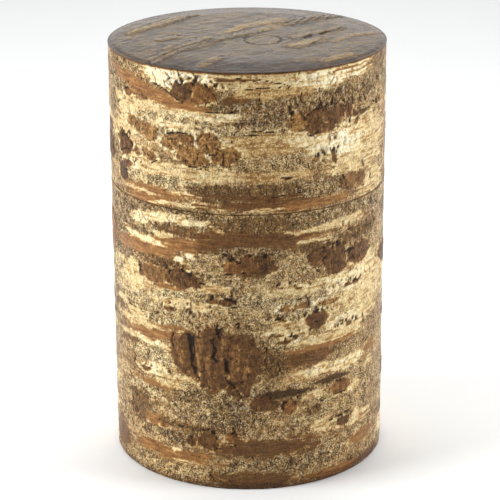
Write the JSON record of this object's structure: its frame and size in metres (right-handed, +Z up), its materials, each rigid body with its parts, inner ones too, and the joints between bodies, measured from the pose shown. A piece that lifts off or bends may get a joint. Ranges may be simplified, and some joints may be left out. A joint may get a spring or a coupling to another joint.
{
  "type": "tea caddy",
  "caption": "Round tea caddy skinned in cherry bark, with a tall inner sleeve as its neck, a deep lid that slides over the neck, and an inner lid with a turned knob.",
  "frame": {"origin": "middle of the underside, on the surface that the caddy stands on", "axes": "+Z up along the caddy's round axis; -Y is the front, the side seen most squarely in the picture"},
  "size_m": [0.079, 0.079, 0.1225],
  "materials": {
    "frosted_bark": "half-polished cherry bark with its frosted outer layer left on, waxed",
    "polished_bark": "dark cherry bark, scraped and polished to a gloss",
    "lining_bark": "smooth burnished cherry bark, satin",
    "veneer": "thin wound veneer and boards, bare",
    "knob_wood": "turned cherry wood, oiled"
  },
  "bodies": {
    "canister": {"base_bark": "polished_bark", "base_board": "veneer", "floor_lining": "lining_bark", "body_core": "veneer", "body_bark": "frosted_bark", "body_lining": "lining_bark", "body_rim_edging": "polished_bark", "sleeve_core": "veneer", "sleeve_bark": "lining_bark", "sleeve_lining": "lining_bark", "sleeve_lip": "polished_bark"},
    "lid": {"lid_bark": "frosted_bark", "lid_core": "veneer", "lid_lining": "lining_bark", "lid_rim_edging": "polished_bark", "lid_ceiling": "lining_bark", "lid_top_board": "veneer", "lid_top_bark": "polished_bark"},
    "inner_lid": {"inner_lid_board": "veneer", "inner_lid_band": "lining_bark", "inner_lid_skin": "lining_bark", "inner_lid_underside": "lining_bark", "knob": "knob_wood", "knob_cap": "polished_bark", "knob_dowel": "veneer"}
  },
  "joints": [
    {"name": "lid_lift", "type": "slide", "parent": "canister", "child": "lid", "axis": [0, 0, 1], "range_m": [0, 0.11]},
    {"name": "inner_lid_lift", "type": "slide", "parent": "canister", "child": "inner_lid", "axis": [0, 0, 1], "range_m": [0, 0.044]}
  ],
  "couplings": [
    {"joint": "inner_lid_lift", "follows": "lid_lift", "ratio": 0.4}
  ]
}
